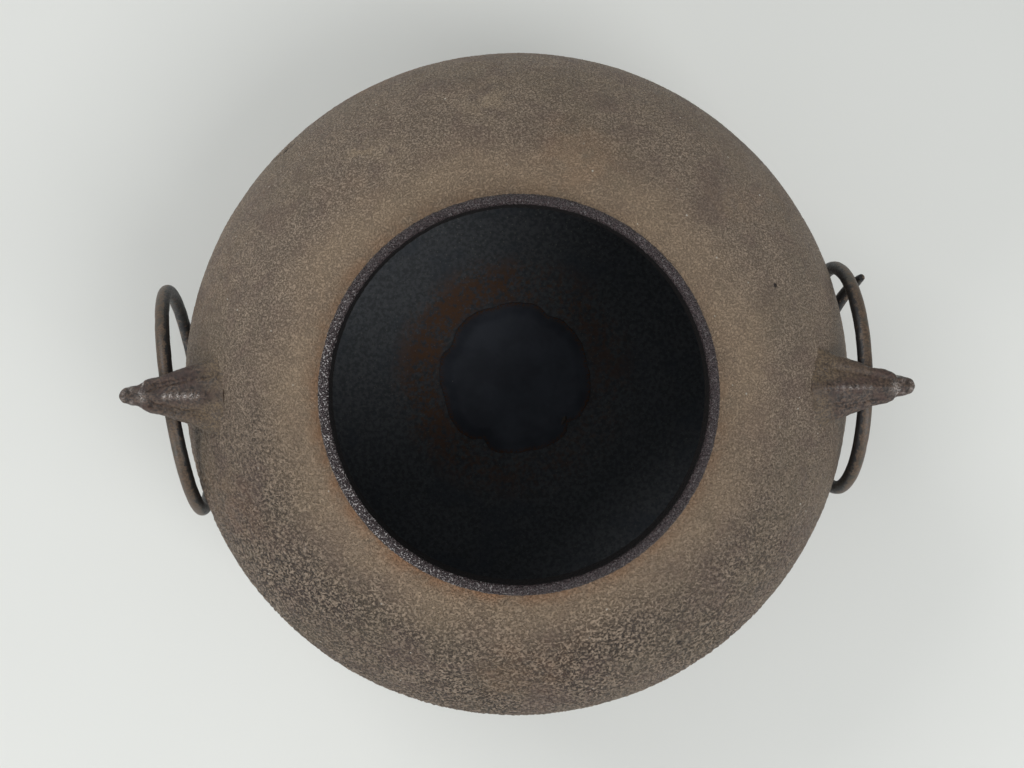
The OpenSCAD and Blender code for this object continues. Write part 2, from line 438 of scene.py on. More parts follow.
class Shade:
    """Builds one node material. Sizes are in millimetres."""

    def __init__(self, name):
        self.material = bpy.data.materials.new(name)
        self.material.use_nodes = True
        self.tree = self.material.node_tree
        self.tree.nodes.clear()
        self.place = self.add("ShaderNodeTexCoord").outputs["Object"]
        self.shader = self.add("ShaderNodeBsdfPrincipled")
        output = self.add("ShaderNodeOutputMaterial")
        self.tree.links.new(self.shader.outputs["BSDF"], output.inputs["Surface"])

    def add(self, kind, **settings):
        """A new node."""
        node = self.tree.nodes.new(kind)
        for name, value in settings.items():
            setattr(node, name, value)
        return node

    def feed(self, socket, value):
        """Gives an input a number or colour, or links an output to it."""
        if isinstance(value, bpy.types.NodeSocket):
            self.tree.links.new(value, socket)
        else:
            socket.default_value = value

    def noise(self, size, detail=3.0, rough=0.6, warp=0.0, shift=0.0, stretch=(1, 1, 1)):
        """Cloudy noise from 0 to 1 with features of about size."""
        mapping = self.add("ShaderNodeMapping")
        mapping.inputs["Location"].default_value = (shift, shift * 0.7, -shift)
        mapping.inputs["Scale"].default_value = stretch
        self.feed(mapping.inputs["Vector"], self.place)
        node = self.add("ShaderNodeTexNoise")
        self.feed(node.inputs["Vector"], mapping.outputs["Vector"])
        node.inputs["Scale"].default_value = 1 / (size * MM)
        node.inputs["Detail"].default_value = detail
        node.inputs["Roughness"].default_value = rough
        node.inputs["Distortion"].default_value = warp
        return node.outputs["Fac"]

    def cells(self, size):
        """Distance from the nearest of many scattered points, in shares of size."""
        node = self.add("ShaderNodeTexVoronoi")
        self.feed(node.inputs["Vector"], self.place)
        node.inputs["Scale"].default_value = 1 / (size * MM)
        return node.outputs["Distance"]

    def mark(self, name):
        """What mark() stored on the piece."""
        return self.add("ShaderNodeAttribute", attribute_name=name).outputs["Fac"]

    def ramp(self, value, low, high, to_low=0.0, to_high=1.0):
        """A smooth step from to_low at low to to_high at high. low may be the larger."""
        node = self.add("ShaderNodeMapRange")
        set_range(node, low, high, to_low, to_high)
        self.feed(node.inputs["Value"], value)
        return node.outputs["Result"]

    def maths(self, operation, a, b=0.0, c=0.0):
        node = self.add("ShaderNodeMath", operation=operation)
        for socket, value in zip(node.inputs, (a, b, c)):
            self.feed(socket, value)
        return node.outputs["Value"]

    def times(self, a, b):
        return self.maths("MULTIPLY", a, b)

    def plus(self, a, b):
        return self.maths("ADD", a, b)

    def one_less(self, a):
        return self.maths("SUBTRACT", 1.0, a)

    def mix(self, share, a, b):
        """Colour a where share is 0, and b where it is 1."""
        node = self.add("ShaderNodeMix", data_type="RGBA")
        self.feed(node.inputs[0], share)
        self.feed(node.inputs[6], a)
        self.feed(node.inputs[7], b)
        return node.outputs[2]

    def bump(self, height, depth, under=None):
        """Relief of depth millimetres for a height from 0 to 1."""
        node = self.add("ShaderNodeBump")
        node.inputs["Strength"].default_value = 1.0
        node.inputs["Distance"].default_value = depth * MM
        self.feed(node.inputs["Height"], height)
        if under is not None:
            self.feed(node.inputs["Normal"], under)
        return node.outputs["Normal"]

    def finish(self, colour, roughness, normal, **constants):
        """The material. constants are set on the shader's own sockets, with _ for a space."""
        self.feed(self.shader.inputs["Base Color"], colour)
        self.feed(self.shader.inputs["Roughness"], roughness)
        self.feed(self.shader.inputs["Normal"], normal)
        for name, value in constants.items():
            self.shader.inputs[name.replace("_", " ")].default_value = value
        return self.material


def body_iron():
    """Rough brown cast iron: grain with painted highlights on its crests and painted shade in its
    pits, blotches, rust by the rim, a lighter band by the mouth of wear and painted top light, and a
    dark rim with painted glints.
    """
    s = Shade("cast_iron_skin")
    relief = s.mark("relief")
    coarse = s.mark("coarse")
    rim = s.mark("rim")
    grain = s.noise(0.6, rough=0.62, warp=0.35)
    fine = s.noise(0.36, detail=2.0, shift=3.1)
    patch = s.noise(7.0, shift=1.7)
    cloud = s.noise(26.0, rough=0.55, shift=5.3)
    hue = s.noise(15.0, detail=4.0, warp=0.8, shift=8.9)

    # The grain's height, from the mesh's own relief and finer bumps
    worms = s.noise(0.95, detail=2.5, warp=0.45, shift=4.6, stretch=(1, 1, 0.72))
    fine_bumps = s.times(s.ramp(grain, 0.34, 0.60), s.one_less(coarse))
    bumps = s.maths("MULTIPLY_ADD", s.ramp(worms, 0.41, 0.55), coarse, fine_bumps)
    deep = s.plus(s.times(coarse, 0.6), 0.38)
    share = s.maths("MULTIPLY_ADD", coarse, 0.25, 0.25)
    height = s.maths("MULTIPLY_ADD", relief, share, s.times(bumps, s.one_less(share)))

    mottled = s.ramp(s.plus(s.times(grain, 0.7), s.times(fine, 0.8)), 0.62, 0.95, 0.06, 0.8)
    colour = s.mix(mottled, SKIN, CREST)
    # Painted highlight on the grain's crests and painted shade in its pits, strongest at the front,
    # stand in for the grain's shading.
    lit = s.times(s.ramp(height, 0.62, 0.98), s.plus(s.times(coarse, 0.42), 0.04))
    colour = s.mix(lit, colour, CREST)
    pit_shade = s.times(s.ramp(height, 0.78, 0.14), s.maths("MINIMUM", deep, 1.0))
    colour = s.mix(pit_shade, colour, PIT)
    colour = s.mix(s.ramp(hue, 0.46, 0.66, 0.0, 0.4), colour, PURPLE)
    colour = s.mix(s.ramp(cloud, 0.45, 0.68, 0.0, 0.22), colour, OLIVE)
    colour = s.mix(s.ramp(patch, 0.3, 0.7, 0.16, 0.0), colour, PIT)
    # A lighter band round the mouth: partly rubbed iron, partly painted top light.
    rubbed_and_top_lit = s.ramp(s.plus(grain, s.times(patch, 0.5)), 0.45, 0.95, 0.35, 0.75)
    colour = s.mix(s.times(s.mark("worn_and_top_light"), rubbed_and_top_lit), colour, WORN_AND_TOP_LIGHT)
    warm = s.times(s.mark("rust"), s.ramp(s.plus(patch, s.times(fine, 0.4)), 0.45, 0.85))
    colour = s.mix(warm, colour, RUST)
    dust = s.times(s.ramp(fine, 0.68, 0.76), s.ramp(cloud, 0.35, 0.6))
    colour = s.mix(s.times(dust, 0.7), colour, DUST)
    specks = s.times(s.ramp(s.cells(4.5), 0.09, 0.05), s.ramp(patch, 0.5, 0.62))
    colour = s.mix(s.times(specks, 0.75), colour, SPECK)
    # The mark holds dust patches outside and the strength of the rim's painted glints.
    dust_and_sheen = s.mark("dust_and_sheen")
    colour = s.mix(s.times(dust_and_sheen, s.ramp(patch, 0.35, 0.6)), colour, DUST)
    colour = s.mix(s.ramp(s.mark("broken"), 0.25, 0.7), colour, PIT)
    dark_rim = s.mix(s.ramp(fine, 0.4, 0.75), RIM_DARK, RIM_LIGHT)
    # Painted glints on the rim, strongest on the left side, which faces the light.
    glint = s.ramp(s.noise(0.5, detail=1.0, rough=0.5, shift=12.0), 0.58, 0.66)
    dark_rim = s.mix(s.times(glint, dust_and_sheen), dark_rim, RIM_GLINT)
    colour = s.mix(rim, colour, dark_rim)

    skin_rough = s.ramp(s.plus(s.times(patch, 0.5), s.times(fine, 0.5)), 0.3, 0.7, 0.5, 0.72)
    rim_rough = s.ramp(fine, 0.35, 0.65, 0.16, 0.4)
    roughness = s.plus(s.times(skin_rough, s.one_less(rim)), s.times(rim_rough, rim))
    normal = s.bump(s.times(bumps, deep), 0.7)
    normal = s.bump(s.times(fine, s.plus(s.times(rim, 3.5), 1.0)), 0.12, normal)
    return s.finish(colour, roughness, normal, Specular_IOR_Level=0.42)


def inside_iron():
    """Blue-black iron inside, with fine light specks, more of them on the upper-left and right walls
    as a painted sheen, painted shade on the mouth's inner wall, and rust round the lacquer.
    """
    s = Shade("iron_inside")
    grain = s.noise(1.6)
    fine = s.noise(0.6, detail=2.0, shift=2.2)
    cloud = s.noise(22.0, shift=4.4)
    colour = s.mix(s.ramp(grain, 0.38, 0.62), INSIDE_DARK, INSIDE_LIGHT)
    colour = s.mix(s.ramp(cloud, 0.45, 0.7, 0.0, 0.6), colour, INSIDE_BLUE)
    spots = s.noise(2.2, detail=4.0, rough=0.75, shift=6.0)
    spotted = s.ramp(s.plus(s.times(spots, 0.65), s.times(cloud, 0.35)), 0.45, 0.57)
    colour = s.mix(s.times(s.mark("rust"), spotted), colour, INSIDE_RUST)
    # Light specks everywhere, and more on the upper-left and right walls as a painted sheen.
    specks = s.times(s.ramp(s.cells(1.9), 0.2, 0.08), s.mark("dust_and_sheen"))
    colour = s.mix(s.times(specks, 0.6), colour, SPECK)
    # Painted shade on the mouth's inner wall.
    colour = s.mix(s.mark("rim"), colour, INSIDE_NECK_SHADE)
    roughness = s.ramp(fine, 0.3, 0.7, 0.5, 0.7)
    normal = s.bump(grain, 0.28)
    normal = s.bump(fine, 0.1, normal)
    return s.finish(colour, roughness, normal, Specular_IOR_Level=0.3)


def base_iron():
    """The underside: darker, sooty iron."""
    s = Shade("iron_underside")
    grain = s.noise(1.8, warp=0.4)
    cloud = s.noise(18.0, shift=3.3)
    colour = s.mix(s.ramp(grain, 0.4, 0.6), UNDER_DARK, UNDER_LIGHT)
    colour = s.mix(s.ramp(cloud, 0.42, 0.66, 0.0, 0.7), colour, UNDER_RUST)
    roughness = s.ramp(grain, 0.3, 0.7, 0.55, 0.8)
    return s.finish(colour, roughness, s.bump(grain, 0.3), Specular_IOR_Level=0.4)


def lug_iron():
    """Smoother, purple-brown iron of the lugs: polished crests with painted highlights, painted shade
    in the snout's dimples, olive dirt at the root.
    """
    s = Shade("lug_iron")
    crest_highlight = s.mark("crest_highlight")
    grain = s.noise(0.9)
    patch = s.noise(4.0, shift=2.7)
    streak = s.noise(2.4, detail=2.0, rough=0.5, shift=4.1, stretch=(0.25, 1, 1))
    colour = s.mix(s.ramp(grain, 0.36, 0.64), LUG_DARK, LUG_LIGHT)
    colour = s.mix(s.ramp(patch, 0.45, 0.65, 0.0, 0.6), colour, LUG_PURPLE)
    colour = s.mix(s.ramp(streak, 0.5, 0.7, 0.0, 0.4), colour, LUG_DARK)
    crumbs = s.noise(0.7, rough=0.65, warp=0.4, shift=3.7)
    caked = s.mix(s.ramp(crumbs, 0.42, 0.58), LUG_DIRT, LUG_DUST)
    uneven = s.ramp(s.plus(s.times(grain, 0.5), s.times(patch, 0.5)), 0.34, 0.52, 0.3, 1.0)
    colour = s.mix(s.times(s.mark("dirt"), uneven), colour, caked)
    fleck = s.noise(0.55, detail=2.0, shift=9.3)
    # Painted highlights on the crests, which are also polished smoother.
    colour = s.mix(s.times(crest_highlight, s.ramp(fleck, 0.44, 0.58, 0.08, 0.95)), colour, LUG_HIGHLIGHT)
    # Painted shade in the snout's dimples.
    colour = s.mix(s.times(s.mark("dimple_shade"), 0.8), colour, LUG_DIMPLE_SHADE)
    roughness = s.ramp(s.plus(s.times(crest_highlight, -0.4), patch), 0.1, 0.7, 0.2, 0.62)
    normal = s.bump(grain, 0.42)
    normal = s.bump(s.noise(0.4, detail=2.0, rough=0.5, shift=7.0), 0.08, normal)
    return s.finish(colour, roughness, normal, Specular_IOR_Level=0.42)


def ring_iron():
    """Forged wire: brown on top and outside, blackened by soot and painted shade inside the ring, on
    its side towards the body and at its tips, and in blotches of scale.
    """
    s = Shade("forged_iron")
    soot_and_shade = s.mark("soot_and_shade")
    grain = s.noise(0.7)
    patch = s.noise(5.0, detail=4.0, rough=0.65, warp=0.6, shift=2.9)
    scale = s.noise(2.0, rough=0.7, shift=6.1)
    colour = s.mix(s.ramp(grain, 0.35, 0.65), RING_BROWN, RING_TAN)
    colour = s.mix(s.ramp(patch, 0.48, 0.66, 0.0, 0.8), colour, RING_GREEN)
    # Soot and painted shade from the mark, with blotches of scale.
    burnt_and_shaded = s.plus(soot_and_shade, s.ramp(scale, 0.3, 0.75, -0.45, 0.45))
    colour = s.mix(s.ramp(burnt_and_shaded, 0.38, 0.72), colour, RING_BLACK)
    roughness = s.ramp(grain, 0.3, 0.7, 0.38, 0.62)
    normal = s.bump(scale, 0.12)
    normal = s.bump(grain, 0.07, normal)
    return s.finish(colour, roughness, normal, Specular_IOR_Level=0.5)


def lacquer_skin():
    """Smooth blue-black lacquer with a faint skin of dust and scale."""
    s = Shade("old_lacquer")
    cloud = s.noise(14.0, shift=1.3)
    fine = s.noise(0.8, detail=2.0)
    colour = s.mix(s.ramp(cloud, 0.35, 0.7), LACQUER_DARK, LACQUER_LIGHT)
    colour = s.mix(s.times(s.mark("rust"), s.ramp(fine, 0.42, 0.6)), colour, INSIDE_RUST)
    specks = s.ramp(s.cells(9.0), 0.035, 0.02)
    colour = s.mix(s.times(specks, 0.6), colour, SPECK)
    roughness = s.ramp(cloud, 0.3, 0.7, 0.55, 0.7)
    normal = s.bump(fine, 0.04)
    return s.finish(colour, roughness, normal, Specular_IOR_Level=0.12)


def plate_iron():
    """Plain dark iron of the plates under the lacquer."""
    s = Shade("plate_iron")
    grain = s.noise(1.2)
    colour = s.mix(s.ramp(grain, 0.35, 0.65), PLATE_DARK, PLATE_LIGHT)
    roughness = s.ramp(grain, 0.3, 0.7, 0.45, 0.7)
    return s.finish(colour, roughness, s.bump(grain, 0.15), Specular_IOR_Level=0.5)


def floor_paper():
    """Plain pale matt floor."""
    s = Shade("pale_floor")
    cloud = s.noise(180.0, detail=2.0, rough=0.5)
    fine = s.noise(2.0, detail=2.0, rough=0.5)
    colour = s.mix(cloud, FLOOR_DARK, FLOOR_LIGHT)
    roughness = s.ramp(fine, 0.3, 0.7, 0.5, 0.6)
    return s.finish(colour, roughness, s.bump(fine, 0.02), Specular_IOR_Level=0.3)


# ---------------- the kettle's body


def outer_curve(angles):
    """Radius and height of the outside at angles, in degrees, above the waist."""
    a = np.radians(angles)
    reach = np.where(angles < 0, UNDER_DROP, SHOULDER_RISE)
    return np.stack([WAIST_R * np.cos(a), WAIST_Z + reach * np.sin(a)], axis=1)


def inner_curve(angles):
    """The same for the inside."""
    a = np.radians(angles)
    reach = np.where(angles < 0, UNDER_DROP, SHOULDER_RISE) - WALL
    return np.stack([(WAIST_R - WALL) * np.cos(a), WAIST_Z + reach * np.sin(a)], axis=1)


def quarter(centre, radius, start, stop):
    """Points round a rounded edge."""
    a = np.radians(np.linspace(start, stop, ROUND_POINTS))
    return np.array(centre) + radius * np.stack([np.cos(a), np.sin(a)], axis=1)


def body_profile():
    """The half section as closely spaced points: from the middle of the base, out and up round the
    outside, over the rim and back down the inside to the middle of the floor."""
    foot = math.degrees(math.asin((WAIST_Z - BASE_ROUND) / UNDER_DROP))
    neck = math.degrees(math.acos(RIM_R / WAIST_R))
    inner_neck = math.degrees(math.acos(MOUTH_R / (WAIST_R - WALL)))
    inner_foot = math.degrees(math.asin((WAIST_Z - WALL) / (UNDER_DROP - WALL)))
    foot_r = outer_curve(np.array([-foot]))[0, 0] - BASE_ROUND
    corners = np.concatenate(
        [
            [[POLE_R, 0.0], [foot_r, 0.0]],
            outer_curve(np.linspace(-foot, neck, CURVE_POINTS)),
            quarter((RIM_R - RIM_ROUND, RIM_Z - RIM_ROUND), RIM_ROUND, 0, 90),
            quarter((MOUTH_R + RIM_ROUND, RIM_Z - RIM_ROUND), RIM_ROUND, 90, 180),
            inner_curve(np.linspace(inner_neck, -inner_foot, CURVE_POINTS)),
            [[POLE_R, WALL]],
        ]
    )
    length = np.concatenate([[0], np.cumsum(np.linalg.norm(np.diff(corners, axis=0), axis=1))])
    even = np.arange(0, length[-1], PROFILE_STEP)
    points = np.stack([np.interp(even, length, corners[:, k]) for k in range(2)], axis=1)
    n = BLUR_STEPS
    spread = np.exp(-0.5 * (np.arange(-n, n + 1) * PROFILE_STEP / EDGE_SOFT) ** 2)
    spread /= spread.sum()
    padded = np.pad(points, ((n, n), (0, 0)), mode="edge")
    softened = np.stack([np.convolve(padded[:, k], spread, "valid") for k in range(2)], axis=1)
    softened[:n], softened[-n:] = points[:n], points[-n:]
    return even, softened


def body_rows():
    """Rows of the body's mesh, closer together where the photograph's side shows grain, and which
    of them are outside."""
    along, points = body_profile()
    radius, z = points.T
    outside = np.arange(len(points)) < int(np.argmax(z))
    near_rim = (z > 148.0) & (radius < RIM_R + 2)
    outside_gap = OUTSIDE_GAP + OUTSIDE_LOW_GAP * smooth(90.0, 40.0, z)
    gap = np.where(outside, outside_gap, INSIDE_GAP + INSIDE_HIGH_GAP * smooth(30.0, 60.0, z))
    gap = np.where(near_rim, RIM_GAP, gap)
    gap = np.where(outside & (z < 0.5), BASE_GAP, gap)
    rows = np.concatenate([[0], np.cumsum(np.diff(along) / gap[1:])])
    wanted = np.linspace(0, rows[-1], int(rows[-1]) + 1)
    places = np.stack([np.interp(wanted, rows, points[:, k]) for k in range(2)], axis=1)
    is_outside = np.interp(wanted, rows, outside.astype(float)) > 0.5
    return places, is_outside


def near_spot(points, around, height, width):
    """1 at a spot on the body's outside, falling to 0 over about width."""
    reach, up = outer_curve(np.array([height]))[0]
    turn = math.radians(around)
    spot = np.array([reach * math.cos(turn), reach * math.sin(turn), up])
    return np.exp(-(np.linalg.norm(points - spot, axis=1) / width) ** 2)


def body_relief(points, outside, radius):
    """How deep each point of the body's skin lies below the smooth CAD surface, in millimetres, with
    the marks that its materials read. Nothing rises above the CAD surface."""
    x, y, z = points.T
    turn = np.arctan2(y, x)

    def facing(angle):
        return np.cos(turn - math.radians(angle))

    grain = noise(bend(points, 3.0, 0.9, 21), 1.0, 31) + 0.3 * noise(points, 2.0, 32)
    grain = smooth(-0.35, 0.4, grain)
    shaken = bend(points, 4.0, 0.8, 41)
    swell = 0.5 + 0.5 * noise(points, 24.0, 51)
    to_front = smooth(0.35, -0.7, y / WAIST_R + 0.18 * x / WAIST_R)
    coarse = np.clip(to_front * (0.9 + 0.25 * noise(points, 30.0, 52)), 0, 1)
    lumps = pebbles(shaken, 1.5, 42) * (1 - coarse) + pebbles(shaken, 2.0, 43) * coarse
    rim = smooth(RIM_Z - 4.2, RIM_Z - 2.4, z + 0.8 * noise(points, 2.2, 61)) * (radius < RIM_R + 0.5)
    skin = outside | (rim > 0.5)

    relief = np.clip((0.55 - 0.15 * coarse) * grain + (0.45 + 0.15 * coarse) * lumps, 0, 1)
    deep = 0.16 + 0.42 * coarse
    depth = (1 - relief) * deep + 0.25 * swell + 0.10 * (0.5 + 0.5 * noise(points, 7.0, 71))
    rim_depth = 0.16 * (1 - pebbles(points, 1.5, 81)) + 0.18 * smooth(0.1, 0.7, noise(points, 5.5, 82))
    depth = depth * (1 - rim) + rim_depth * rim
    inside_depth = 0.14 * (1 - pebbles(points, 2.2, 91)) + 0.10 * (0.5 + 0.5 * noise(points, 9.0, 92))
    depth = np.where(skin, depth, inside_depth)
    broken = np.zeros(len(points))
    for around, height, width, cut in CHIPS:
        near = near_spot(points, around, height, width)
        depth = depth + cut * near * outside
        broken = np.maximum(broken, near * outside)

    neck = smooth(RIM_R + 9.0, RIM_R + 0.5, radius) * outside
    # A lighter band round the mouth: partly rubbed iron, partly painted top light.
    worn_and_top_light = smooth(RIM_R + 26.0, RIM_R + 4.0, radius + 5.0 * noise(points, 22.0, 54)) * outside
    blotches = smooth(0.15, 0.6, noise(points, 38.0, 53)) * outside
    outer_rust = np.clip(0.8 * neck**1.6 * (0.55 + 0.45 * facing(-130)) + 0.16 * blotches, 0, 1)
    round_pool = smooth(31.0, 35.0, radius) * smooth(56.0, 41.0, radius) * (z < 40)
    rust = np.where(outside, outer_rust, round_pool * (0.68 + 0.32 * facing(140)))

    dust_and_sheen = np.zeros(len(points))
    for around, height, width, strength in PALE_PATCHES:
        dust_and_sheen += strength * near_spot(points, around, height, width)
    # On the rim, this mark sets painted glints, strongest on the left side, which faces the light.
    dust_and_sheen += rim * (0.12 + 0.5 * smooth(0.3, 1.0, facing(205)))
    # Painted sheen inside: more light specks on the upper-left and right walls.
    inner_sheen = smooth(0.55, 1.15, facing(135) + 0.75 * facing(10))
    inner_sheen = inner_sheen * smooth(48.0, 62.0, radius) * smooth(60.0, 30.0, z)
    dust_and_sheen = np.where(skin, np.clip(dust_and_sheen, 0, 1), 0.2 + 0.5 * inner_sheen)

    # Inside, the mark is painted shade on the mouth's wall. Outside, it is the rim's band.
    rim = np.where(outside, rim, smooth(144.0, 147.0, z))
    marks = {"relief": relief, "coarse": coarse, "rust": rust, "rim": rim, "dust_and_sheen": dust_and_sheen}
    return depth, {**marks, "worn_and_top_light": worn_and_top_light, "broken": broken}


def kettle_body():
    """The whole casting but its lugs: a revolved skin, displaced inwards by body_relief()."""
    rows, outside_row = body_rows()
    tangent = np.gradient(rows, axis=0)
    normal = np.stack([tangent[:, 1], -tangent[:, 0]], axis=1)
    normal /= np.linalg.norm(normal, axis=1)[:, None]
    around = circle(SEGMENTS)[1]

    def spun(pairs):
        flat = pairs[:, None, 0, None] * around[None]
        up = np.repeat(pairs[:, 1][:, None, None], SEGMENTS, axis=1)
        return np.concatenate([flat, up], axis=2).reshape(-1, 3)

    points, normals = spun(rows), spun(normal)
    outside = np.repeat(outside_row, SEGMENTS)
    radius = np.repeat(rows[:, 0], SEGMENTS)
    depth, marks = body_relief(points, outside, radius)
    points = points - normals * depth[:, None]
    faces = tube_faces(len(rows), SEGMENTS).tolist()
    faces.insert(0, list(range(SEGMENTS))[::-1])
    faces.append([(len(rows) - 1) * SEGMENTS + k for k in range(SEGMENTS)])
    shading = [body_iron(), inside_iron(), base_iron()]
    piece = piece_from("kettle_skin", points, faces, "kettle", ["kettle_body"], shading)
    mark(piece, **marks)
    height = rows[:-1, 1]
    kind = np.where(outside_row[:-1] | (height > RIM_Z - 0.9), 0, 1)
    kind = np.where(outside_row[:-1] & (rows[:-1, 0] < BASE_R) & (height < 2.0), 2, kind)
    slots = np.concatenate([[2], np.repeat(kind, SEGMENTS), [1]])
    piece.data.polygons.foreach_set("material_index", slots.astype(np.int32))


# ---------------- lugs


def soft_join(a, b, reach):
    """Union of two distance fields, filleted over about reach."""
    h = np.clip(0.5 + 0.5 * (b - a) / reach, 0, 1)
    return b + (a - b) * h - reach * h * (1 - h)


def soft_cut(a, b, reach):
    """Field a with field b taken out of it."""
    return -soft_join(-a, b, reach)


def bump_at(points, spot, width, hand=1):
    """A soft spot, 1 at its middle, of width in each direction. hand -1 puts it on the other side."""
    middle = np.array(spot) * np.array([1, hand, 1])
    return np.exp(-(((points - middle) / np.array(width)) ** 2).sum(1))


def hood_line(y, ways):
    """Where the hood ends, in x, across a lug."""
    return ways["hood_x"] - 0.045 * y**2 + 0.5 * np.sin(1.3 * y + ways["phase"])


def body_distance(points):
    """About how far points near the shoulder lie outside the body's smooth surface."""
    radius = np.hypot(points[:, 0], points[:, 1])
    reach = np.where(points[:, 2] < WAIST_Z, UNDER_DROP, SHOULDER_RISE)
    up = (points[:, 2] - WAIST_Z) / reach
    level = np.hypot(radius / WAIST_R, up)
    slope = np.hypot(radius / WAIST_R**2, up / reach) / np.maximum(level, 1e-6)
    return (level - 1) / slope


def lug_field(points, ways):
    """Distance field of the right lug. ways holds what differs from lug to lug."""
    x, y, z = points.T
    w = z - LUG_AXIS_Z - SNOUT_LIFT * smooth(113.0, 131.0, x)
    t = np.clip((x - LUG_ROOT_X) / (LUG_TIP_X - LUG_TIP_R - LUG_ROOT_X), 0, 1)
    hood_end = hood_line(y, ways)
    hooded = smooth(hood_end + 0.3, hood_end - 0.05, x)
    grow_w = 13.1 * (1 - t) ** 1.04
    grow_d = 6.6 * np.maximum(1 - t**2.6, 0) ** 0.8
    half_w = LUG_TIP_R + grow_w + 0.35 * hooded
    half_d = LUG_TIP_R + grow_d + 0.8 * hooded
    past = np.maximum(x - (LUG_TIP_X - LUG_TIP_R), 0)
    side = np.abs(y)
    roof = (w - half_d + ROOF_FALL * side) / math.hypot(1, ROOF_FALL)
    upper = -soft_join(half_w - side, -roof, 2.2)
    level = ((side / half_w) ** 2.3 + (np.abs(w) / half_d) ** 2.3) ** (1 / 2.3)
    lower = (level - 1) * np.minimum(half_w, half_d)
    field = np.where(w > 0, upper, lower)
    round_tip = np.hypot(past, np.maximum(field + LUG_TIP_R, 0)) - LUG_TIP_R
    field = np.where(past > 0, round_tip, field)

    top = smooth(0.0, 3.0, w)
    fade_in = smooth(96.0, 102.0, x) * smooth(hood_end + 0.5, hood_end - 2.5, x)
    keel = np.exp(-((y / 1.25) ** 2)) * top * fade_in
    beads = 0.5 + 0.5 * np.cos((x - BEAD_MIDDLE) * 2 * math.pi / BEAD_PITCH + 0.8 * np.sin(y * 2))
    beading = ways["beads"] * smooth(103.0, 105.0, x) * smooth(115.0, 112.5, x)
    field -= keel * (0.45 + 0.95 * beads * beading)
    cheek = np.exp(-(((side - (1.1 + 8.2 * (1 - t))) / 0.8) ** 2)) * top * fade_in
    field += 0.75 * ways["ridges"] * cheek
    brow = np.exp(-(((side - (2.6 + 9.8 * (1 - t))) / 1.1) ** 2)) * top * fade_in
    field -= 0.55 * ways["ridges"] * brow
    for hand in (-1, 1):
        line = hand * y - ways["fork"] * (hood_end - x) * 0.75
        crease = np.exp(-((line / 0.42) ** 2)) * smooth(hood_end - 4.5, hood_end - 3.0, x)
        field += ways["ridges"] * crease * (x < hood_end + 0.3) * top * (hand * y > -0.3)
        field += 0.8 * bump_at(points, NOSTRIL, (0.8, 0.7, 1.2), hand)
        field += 0.4 * bump_at(points, SMALL_EYE, (1.2, 1.0, 1.5), hand)
        field -= 0.45 * bump_at(points, BROW_KNOB, (1.3, 0.9, 1.2), hand)
        field -= 0.6 * bump_at(points, SIDE_SWELL, (3.0, 1.4, 2.4), hand)
    mouth = np.exp(-(((w + 1.6 + 0.05 * (x - 126.0)) / 0.5) ** 2)) * smooth(121.0, 123.0, x)
    field += 0.7 * mouth

    shell = body_distance(points)
    field = soft_join(field, shell + 1.1, 3.4)
    field = np.maximum(field, np.hypot(y, w + 1.0) - 15.0)
    field = np.maximum(field, -(shell + 2.0))
    eye_r = EYE_R + EYE_FLARE * np.maximum(side - EYE_STRAIGHT, 0)
    bore = np.hypot(x - EYE_X, z - LUG_AXIS_Z) - eye_r
    return soft_cut(field, bore, 0.5)


def lug_skin(points, ways):
    """Casting marks on a lug, as depth in millimetres."""
    x, _, z = points.T
    root = smooth(112.0, 100.0, x)
    clear_eye = smooth(4.0, 6.5, np.hypot(x - EYE_X, z - LUG_AXIS_Z))
    rough = noise(points, 1.5, 101 + ways["seed"]) * (0.11 + 0.13 * root)
    rough += noise(points, 4.5, 105 + ways["seed"]) * (0.22 + 0.25 * root)
    rough += noise(points, 0.8, 109 + ways["seed"]) * 0.035
    return rough * (0.25 + 0.75 * clear_eye)


